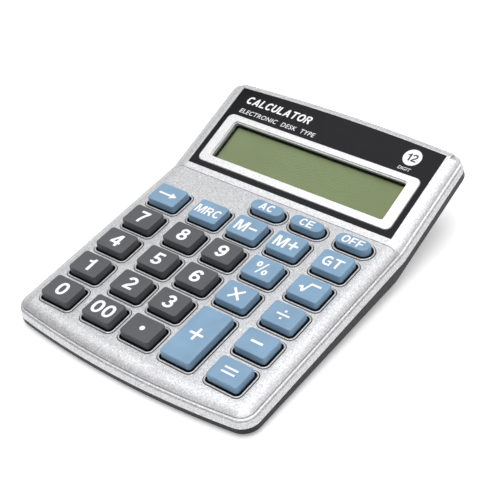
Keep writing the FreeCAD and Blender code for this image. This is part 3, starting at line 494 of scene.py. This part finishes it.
def text_shape(words, height, weight, slant, spacing):
    """A line of text in the built-in font, centred on the origin, as a thin mesh."""
    curve = bpy.data.curves.new("text", "FONT")
    curve.body = words
    curve.size = height / CAP_SHARE
    curve.offset = weight * height
    curve.shear = slant
    curve.space_character = spacing
    curve.align_x = "CENTER"
    curve.extrude = INK
    curve.resolution_u = 6
    holder = bpy.data.objects.new("text", curve)
    bpy.context.scene.collection.objects.link(holder)
    bpy.context.view_layer.update()
    graph = bpy.context.evaluated_depsgraph_get()
    mesh = bpy.data.meshes.new_from_object(holder.evaluated_get(graph))
    bpy.data.objects.remove(holder)
    xs = [v.co.x for v in mesh.vertices]
    ys = [v.co.y for v in mesh.vertices]
    middle = Vector(((min(xs) + max(xs)) / 2, (min(ys) + max(ys)) / 2, 0))
    mesh.transform(Matrix.Translation(-middle))
    return mesh


# Letters and digits as shares of the cap height. A flat piece is a list of corners; a stroke is
# (width, closed, points), drawn at that width along the points.
def bow(x, y, across, up, start, end, steps=14):
    """Points along an ellipse's arc, its angles in degrees."""
    angles = [math.radians(start + (end - start) * i / steps) for i in range(steps + 1)]
    return [(x + across * math.cos(a), y + up * math.sin(a)) for a in angles]


def loop(x, y, across, up, square=2.0, steps=36):
    """Points round a closed oval; a higher square gives flatter sides."""
    points = []
    for i in range(steps):
        angle = 2 * math.pi * i / steps
        c, s = math.cos(angle), math.sin(angle)
        points.append((x + across * math.copysign(abs(c) ** (2 / square), c),
                       y + up * math.copysign(abs(s) ** (2 / square), s)))
    return points


THICK = 0.185                   # an ordinary stroke's width
SIX = [(THICK, True, loop(0.355, 0.315, 0.235, 0.225)),
       (THICK, False, bow(0.385, 0.49, 0.265, 0.415, 38, 196))]
GLYPHS = {
    "0": [(THICK, True, loop(0.35, 0.5, 0.25, 0.41, 2.3))],
    "1": [((0.26, 0), (0.47, 0), (0.47, 1), (0.31, 1), (0.27, 0.88), (0.17, 0.82), (0.02, 0.8),
           (0.02, 0.66), (0.26, 0.66))],
    "2": [(THICK, False,
           bow(0.35, 0.69, 0.24, 0.22, 175, -25) + [(0.42, 0.42), (0.23, 0.28), (0.12, 0.08)]),
          ((0.02, 0), (0.67, 0), (0.67, 0.17), (0.05, 0.17))],
    "3": [(THICK, False, bow(0.34, 0.72, 0.21, 0.19, 165, -75) + [(0.3, 0.53)]),
          (THICK, False, [(0.3, 0.53)] + bow(0.34, 0.30, 0.245, 0.215, 75, -168))],
    "4": [((0.41, 0), (0.61, 0), (0.61, 1), (0.41, 1)),
          ((0, 0.23), (0.72, 0.23), (0.72, 0.4), (0, 0.4)),
          ((0, 0.38), (0.2, 0.38), (0.53, 0.92), (0.41, 1))],
    "5": [((0.12, 0.83), (0.63, 0.83), (0.63, 1), (0.14, 1)),
          ((0.06, 0.42), (0.25, 0.48), (0.3, 1), (0.13, 1)),
          (THICK, False, bow(0.34, 0.315, 0.245, 0.225, 138, -162))],
    "6": SIX,
    "7": [((0.02, 0.83), (0.68, 0.83), (0.68, 1), (0.02, 1)),
          (THICK, False, [(0.6, 0.9), (0.47, 0.7), (0.36, 0.48), (0.29, 0.24), (0.27, 0)])],
    "8": [(THICK * 0.95, True, loop(0.35, 0.735, 0.2, 0.175)),
          (THICK, True, loop(0.35, 0.3, 0.24, 0.21))],
    "9": [(SIX[0][0], True, [(0.7 - x, 1 - y) for x, y in SIX[0][2]]),
          (SIX[1][0], False, [(0.7 - x, 1 - y) for x, y in SIX[1][2]])],
    "A": [((0, 0), (0.21, 0), (0.51, 1), (0.3, 1)), ((0.6, 0), (0.81, 0), (0.51, 1), (0.3, 1)),
          ((0.18, 0.2), (0.63, 0.2), (0.58, 0.37), (0.23, 0.37))],
    "C": [(THICK, False, bow(0.41, 0.5, 0.32, 0.41, 42, 318, 24))],
    "D": [(THICK, True, [(0.1, 0.09), (0.35, 0.09)] + bow(0.35, 0.5, 0.29, 0.41, -80, 80) +
           [(0.35, 0.91), (0.1, 0.91)])],
    "E": [((0, 0), (0.74, 0), (0.74, 0.17), (0.2, 0.17), (0.2, 0.43), (0.69, 0.43), (0.69, 0.6),
           (0.2, 0.6), (0.2, 0.83), (0.72, 0.83), (0.72, 1), (0, 1))],
    "F": [((0, 0), (0.2, 0), (0.2, 0.41), (0.62, 0.41), (0.62, 0.58), (0.2, 0.58), (0.2, 0.83),
           (0.69, 0.83), (0.69, 1), (0, 1))],
    "G": [(THICK, False, bow(0.41, 0.5, 0.32, 0.41, 42, 305, 24)),
          ((0.42, 0.38), (0.78, 0.38), (0.78, 0.54), (0.42, 0.54)),
          ((0.64, 0.0), (0.78, 0.0), (0.78, 0.5), (0.64, 0.5))],
    "I": [((0, 0), (0.2, 0), (0.2, 1), (0, 1))],
    "L": [((0, 0), (0.66, 0), (0.66, 0.17), (0.2, 0.17), (0.2, 1), (0, 1))],
    "M": [((0, 0), (0.19, 0), (0.19, 0.74), (0.39, 0), (0.57, 0), (0.77, 0.74), (0.77, 0), (0.96, 0),
           (0.96, 1), (0.68, 1), (0.48, 0.28), (0.28, 1), (0, 1))],
    "O": [(THICK, True, loop(0.41, 0.5, 0.325, 0.41, 2.2))],
    "R": [((0, 0), (0.2, 0), (0.2, 1), (0, 1)), ((0.34, 0.45), (0.54, 0.5), (0.75, 0), (0.53, 0)),
          (THICK * 0.9, False, [(0.1, 0.915), (0.42, 0.915)] + bow(0.42, 0.7, 0.2, 0.215, 80, -80) +
           [(0.42, 0.485), (0.1, 0.485)])],
    "T": [((0.3, 0), (0.5, 0), (0.5, 0.83), (0.8, 0.83), (0.8, 1), (0, 1), (0, 0.83), (0.3, 0.83))],
    "U": [(THICK, False, [(0.095, 1), (0.095, 0.4)] + bow(0.375, 0.37, 0.28, 0.28, 180, 360) +
           [(0.655, 0.4), (0.655, 1)])],
    "%": [(0.13, True, loop(0.19, 0.77, 0.13, 0.17)), (0.13, True, loop(0.91, 0.23, 0.13, 0.17)),
          ((0.3, -0.03), (0.41, -0.03), (0.8, 1.03), (0.69, 1.03))],
    "+": [((0, 0.43), (0.82, 0.43), (0.82, 0.61), (0, 0.61)),
          ((0.32, 0.11), (0.5, 0.11), (0.5, 0.93), (0.32, 0.93))],
    "-": [((0, 0.43), (0.7, 0.43), (0.7, 0.6), (0, 0.6))],
}
SPACE = 0.36                    # the width of a space


def add_stroke(form, points, width, closed):
    """A ribbon of even width along points, as a closed strip of four-sided pieces."""
    count = len(points)
    spots = [Vector(p) for p in points]
    rows = []
    for i, spot in enumerate(spots):
        before = spots[i - 1] if closed or i else spot
        after = spots[(i + 1) % count] if closed or i + 1 < count else spot
        along = (after - before).normalized()
        side = Vector((-along.y, along.x)) * width / 2
        left, right = spot + side, spot - side
        corners = ((left, -INK), (left, INK), (right, INK), (right, -INK))
        rows.append([form.verts.new((p.x, p.y, z)) for p, z in corners])
    for i in range(count if closed else count - 1):
        row, following = rows[i], rows[(i + 1) % count]
        for a, b in ((0, 1), (1, 2), (2, 3), (3, 0)):
            form.faces.new((row[a], row[b], following[b], following[a]))
    if not closed:
        form.faces.new(rows[0][::-1])
        form.faces.new(rows[-1])


def add_flat(form, outline):
    """A prism over a flat outline, going round anticlockwise."""
    low = [form.verts.new((x, y, -INK)) for x, y in outline]
    high = [form.verts.new((x, y, INK)) for x, y in outline]
    form.faces.new(high)
    form.faces.new(low[::-1])
    for i, vertex in enumerate(low):
        j = (i + 1) % len(low)
        form.faces.new((vertex, low[j], high[j], high[i]))


def word_shape(words, height, gap=0.12, lean=0.0, weight=1.0):
    """Letters or digits set side by side with even gaps, centred on the origin."""
    form = bmesh.new()
    pen = 0.0
    for letter in words:
        if letter == " ":
            pen += SPACE
            continue
        parts = GLYPHS[letter]
        flats = [part for part in parts if not isinstance(part[1], bool)]
        strokes = [part for part in parts if isinstance(part[1], bool)]
        edges = [x for flat in flats for x, y in flat]
        edges += [x + side * width / 2
                  for width, closed, points in strokes for x, y in points for side in (-1, 1)]
        start = pen - min(edges)
        pen = start + max(edges) + gap
        for flat in flats:
            add_flat(form, [((start + x + lean * y) * height, y * height) for x, y in flat])
        for width, closed, points in strokes:
            add_stroke(form, [((start + x + lean * y) * height, y * height) for x, y in points],
                       width * weight * height, closed)
    mesh = bpy.data.meshes.new("word")
    form.to_mesh(mesh)
    form.free()
    mesh.transform(Matrix.Translation((-(pen - gap) * height / 2, -height / 2, 0)))
    return mesh


def prism_shape(outlines):
    """Closed prisms over flat outlines, each a list of (x, y) going round anticlockwise."""
    mesh = bpy.data.meshes.new("sign")
    form = bmesh.new()
    for outline in outlines:
        add_flat(form, outline)
    form.to_mesh(mesh)
    form.free()
    return mesh


def bar(x, y, length, width, turn=0.0):
    """A straight stroke with barely rounded ends."""
    outline = rounded_ring(length / 2, width / 2, 0.12 * MM)
    spin = Matrix.Rotation(math.radians(turn), 2)       # turn is in degrees
    return [tuple(Vector((x, y)) + spin @ p) for p in outline]


def dot(x, y, radius, steps=28):
    """The outline of a round spot."""
    angles = [2 * math.pi * i / steps for i in range(steps)]
    return [(x + radius * math.cos(a), y + radius * math.sin(a)) for a in angles]


def print_on(name, mesh, matrix, body, material, drop=None):
    """Lay a flat printed shape on a surface; drop gives the surface's own hollow."""
    if drop:
        for vertex in mesh.vertices:
            vertex.co.z += drop(vertex.co.x, vertex.co.y)
    mesh.transform(matrix)
    piece = bpy.data.objects.new(name, mesh)
    mesh.name = name
    bpy.context.scene.collection.objects.link(piece)
    dress(piece, material)
    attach(piece, body)


DIGIT_H = 5.55 * MM
DIGIT_WIDE = 1.08               # the digits are drawn wider than their outlines above
STROKE = 0.92 * MM
THIN_STROKE = 0.74 * MM
LEGENDS = {                     # words and their height
    "zero": ("0", DIGIT_H), "double_zero": ("00", DIGIT_H), "one": ("1", DIGIT_H),
    "two": ("2", DIGIT_H), "three": ("3", DIGIT_H), "four": ("4", DIGIT_H), "five": ("5", DIGIT_H),
    "six": ("6", DIGIT_H), "seven": ("7", DIGIT_H), "eight": ("8", DIGIT_H), "nine": ("9", DIGIT_H),
    "percent": ("%", 5.2 * MM), "recall": ("MRC", 3.85 * MM), "memory_minus": ("M-", 4.9 * MM),
    "memory_plus": ("M+", 4.9 * MM), "grand_total": ("GT", 4.4 * MM), "all_clear": ("AC", 3.4 * MM),
    "clear_entry": ("CE", 3.4 * MM), "off": ("OFF", 3.4 * MM),
}
SIGNS = {                       # outlines, drawn from bars and dots
    "point": [dot(0, 0, 0.95 * MM)],
    "plus": [bar(0, 0, 5.3 * MM, STROKE), bar(0, 0, 5.3 * MM, STROKE, 90)],
    "equals": [bar(0, 0.95 * MM, 5.2 * MM, THIN_STROKE), bar(0, -0.95 * MM, 5.2 * MM, THIN_STROKE)],
    "minus": [bar(0, 0, 4.6 * MM, STROKE)],
    "times": [bar(0, 0, 6.2 * MM, STROKE, 45), bar(0, 0, 6.2 * MM, STROKE, -45)],
    "divide": [bar(0, 0, 4.9 * MM, THIN_STROKE),
               dot(0, 1.65 * MM, 0.48 * MM), dot(0, -1.65 * MM, 0.48 * MM)],
    "root": [bar(-2.75 * MM, -0.3 * MM, 1.2 * MM, 0.7 * MM, 35),
             bar(-1.9 * MM, -1.05 * MM, 2.5 * MM, STROKE, -62),
             bar(-0.65 * MM, 0.0, 4.6 * MM, 0.7 * MM, 72),
             bar(1.7 * MM, 2.0 * MM, 3.9 * MM, 0.8 * MM)],
    "arrow": [bar(-1.1 * MM, 0, 5.6 * MM, 0.85 * MM),
              [(1.4 * MM, -1.5 * MM), (4.1 * MM, 0.0), (1.4 * MM, 1.5 * MM)]],
}


def legend(key):
    """The printing on a key's top, which follows its dish."""
    name = key.node[4:]
    if name in SIGNS:
        mesh = prism_shape(SIGNS[name])
    else:
        words, height = LEGENDS[name]
        mesh = word_shape(words, height)
        if words.isdigit():
            mesh.transform(Matrix.Diagonal((DIGIT_WIDE, 1, 1, 1)))
    print_on("legend_" + name, mesh, key.matrix, key.node, "print_white",
             key.dish)


for key_node in KEYS:
    one = Key(key_node)
    make_key(one)
    legend(one)


# ---- print on the display panel -----------------------------------------------------------------
panel_low, panel_high = turned_box("display_panel", DISPLAY_SLOPE)
panel_middle = (panel_low.x + panel_high.x) / 2


def panel_matrix(x, up):
    """A place on the panel: x from its middle line, up from its lower edge."""
    spot = Vector((panel_middle + x, panel_low.y + up, panel_high.z))
    return sloped(DISPLAY_SLOPE) @ Matrix.Translation(spot)


SMALL_PRINT = (                 # name, words, height, weight, x, up and letter spacing, in mm
    ("panel_subtitle", "ELECTRONIC  DESK  TYPE", 1.9, 0.004, -22.4, 27.9, 1.1),
    ("panel_digit", "DIGIT", 1.35, 0.0, 33.3, 27.3, 1.0),
)
SMALL_SLANT = 0.15
TITLE_H = 3.4 * MM
TITLE_PLACE = panel_matrix(-25.2 * MM, 33.2 * MM)
BADGE_R = 3.5 * MM
BADGE_PLACE = panel_matrix(33.6 * MM, 32.5 * MM)
BADGE_NUMBER_H = 3.3 * MM
OVER_BADGE = Matrix.Translation((0, 0, 1.5 * INK))
SHADE_FRAME_IN = 0.9 * MM            # from the polariser's edge in to the middle of the painted shade frame
SHADE_FRAME_WIDTH = 1.1 * MM
SHADE_FRAME_R = 0.9 * MM

for piece_name, words, height, weight, x, up, spacing in SMALL_PRINT:
    print_on(piece_name, text_shape(words, height * MM, weight, SMALL_SLANT, spacing),
             panel_matrix(x * MM, up * MM), "case", "print_white")
print_on("panel_title", word_shape("CALCULATOR", TITLE_H, lean=0.2, weight=1.1), TITLE_PLACE,
         "case", "print_white")
print_on("panel_badge", prism_shape([dot(0, 0, BADGE_R)]), BADGE_PLACE,
         "case", "print_white")
print_on("panel_badge_number", word_shape("12", BADGE_NUMBER_H), BADGE_PLACE @ OVER_BADGE,
         "case", "print_black")


def add_shade_frame():
    """A thin near-black frame between the window and the liquid crystal, inside the window's edge: painted shade
    where the window's wall shades the display's border.
    """
    low, high = turned_box("lcd_front_polariser", DISPLAY_SLOPE)
    lens_low = turned_box("display_lens", DISPLAY_SLOPE)[0]
    middle = Vector(((low.x + high.x) / 2, (low.y + high.y) / 2, (high.z + lens_low.z) / 2))
    half_w, half_d = (high.x - low.x) / 2 - SHADE_FRAME_IN, (high.y - low.y) / 2 - SHADE_FRAME_IN
    form = bmesh.new()
    add_stroke(form, rounded_ring(half_w, half_d, SHADE_FRAME_R), SHADE_FRAME_WIDTH, True)
    mesh = bpy.data.meshes.new("window_shade_frame")
    form.to_mesh(mesh)
    form.free()
    # painted shade: the frame is near black all round the display's border
    print_on("window_shade_frame", mesh, sloped(DISPLAY_SLOPE) @ Matrix.Translation(middle), "case",
             "carbon_rubber")


add_shade_frame()


# ---- stage, light and camera --------------------------------------------------------------------
FLOOR_GAP = 0.02 * MM           # keeps the floor and the feet from lying in one plane
FLOOR_FRONT, FLOOR_BACK = -2.4, 1.6     # the flat part, in metres from the calculator
FLOOR_SIDE = 3.0                # half its width
BACKDROP_TOP = 3.0
BEND_R = 0.6
BEND_STEPS = 16
PAPER_GLOW = 0.3                # keeps the paper white, as in the photo's lit background
CAMERA_AZIMUTH = math.radians(42.82)
CAMERA_ELEVATION = math.radians(38.40)
CAMERA_ROLL = math.radians(-7.18)
CAMERA_TARGET = Vector((-1.85, 0.81, 12.3)) * MM
CAMERA_DISTANCE = 434.5 * MM
CAMERA_LENS = 94.7              # on a 36 mm sensor
LAMP_TARGET = Vector((0, 0, 0.01))
SKY = (0.97, 0.98, 1.0, 1.0)
SKY_STRENGTH = 0.19


def make_floor():
    """A pale studio sweep: flat under the calculator, curving up far behind it."""
    mesh = bpy.data.meshes.new("studio_floor")
    form = bmesh.new()
    profile = [(FLOOR_FRONT, 0.0), (FLOOR_BACK, 0.0)]
    for step in range(1, BEND_STEPS + 1):
        angle = math.pi / 2 * step / BEND_STEPS
        profile.append((FLOOR_BACK + BEND_R * math.sin(angle), BEND_R * (1 - math.cos(angle))))
    profile.append((FLOOR_BACK + BEND_R, BACKDROP_TOP))
    spin = Matrix.Rotation(CAMERA_AZIMUTH, 3, "Z")
    rows = [[form.verts.new(spin @ Vector((x, y, z - FLOOR_GAP))) for x in (-FLOOR_SIDE, FLOOR_SIDE)]
            for y, z in profile]
    for row, following in zip(rows, rows[1:]):
        form.faces.new((row[0], row[1], following[1], following[0])).smooth = True
    form.to_mesh(mesh)
    form.free()
    floor = bpy.data.objects.new("studio_floor", mesh)
    bpy.context.scene.collection.objects.link(floor)
    paint = Paint("studio_paper", Roughness=0.9, Specular_IOR_Level=0.1,
                  Emission_Color=(1, 1, 1, 1), Emission_Strength=PAPER_GLOW)
    paint.feed("Base Color", paint.ramp(paint.noise(0.08, 3.0), (0.3, 0.93), (0.7, 0.96)))
    floor.data.materials.append(paint.material)


def area_light(name, azimuth, elevation, distance, size, power):
    """A soft square light aimed at the calculator; angles in degrees, lengths in metres."""
    light = bpy.data.lights.new(name, "AREA")
    light.shape = "SQUARE"
    light.size = size
    light.energy = power
    lamp = bpy.data.objects.new(name, light)
    bpy.context.scene.collection.objects.link(lamp)
    lamp.matrix_world = aimed(math.radians(azimuth), math.radians(elevation), 0.0, LAMP_TARGET,
                              distance)


def aimed(azimuth, elevation, roll, target, distance):
    """A placement that looks at target; azimuth 0 looks along +Y, positive from the right."""
    back = Vector((math.sin(azimuth) * math.cos(elevation), -math.cos(azimuth) * math.cos(elevation),
                   math.sin(elevation)))
    turn = back.to_track_quat("Z", "Y").to_matrix().to_4x4() @ Matrix.Rotation(roll, 4, "Z")
    return Matrix.Translation(target + distance * back) @ turn


camera = bpy.data.objects.new("camera", bpy.data.cameras.new("camera"))
bpy.context.scene.collection.objects.link(camera)
camera.data.lens = CAMERA_LENS
camera.data.sensor_width = 36.0
camera.matrix_world = aimed(CAMERA_AZIMUTH, CAMERA_ELEVATION, CAMERA_ROLL, CAMERA_TARGET,
                            CAMERA_DISTANCE)
bpy.context.scene.camera = camera

make_floor()
area_light("overhead_light", azimuth=40, elevation=86, distance=1.2, size=1.8, power=24.5)
world = bpy.data.worlds.new("studio")
world.use_nodes = True
background = world.node_tree.nodes["Background"]
background.inputs["Color"].default_value = SKY
background.inputs["Strength"].default_value = SKY_STRENGTH
bpy.context.scene.world = world
bpy.context.scene.view_settings.view_transform = "Standard"
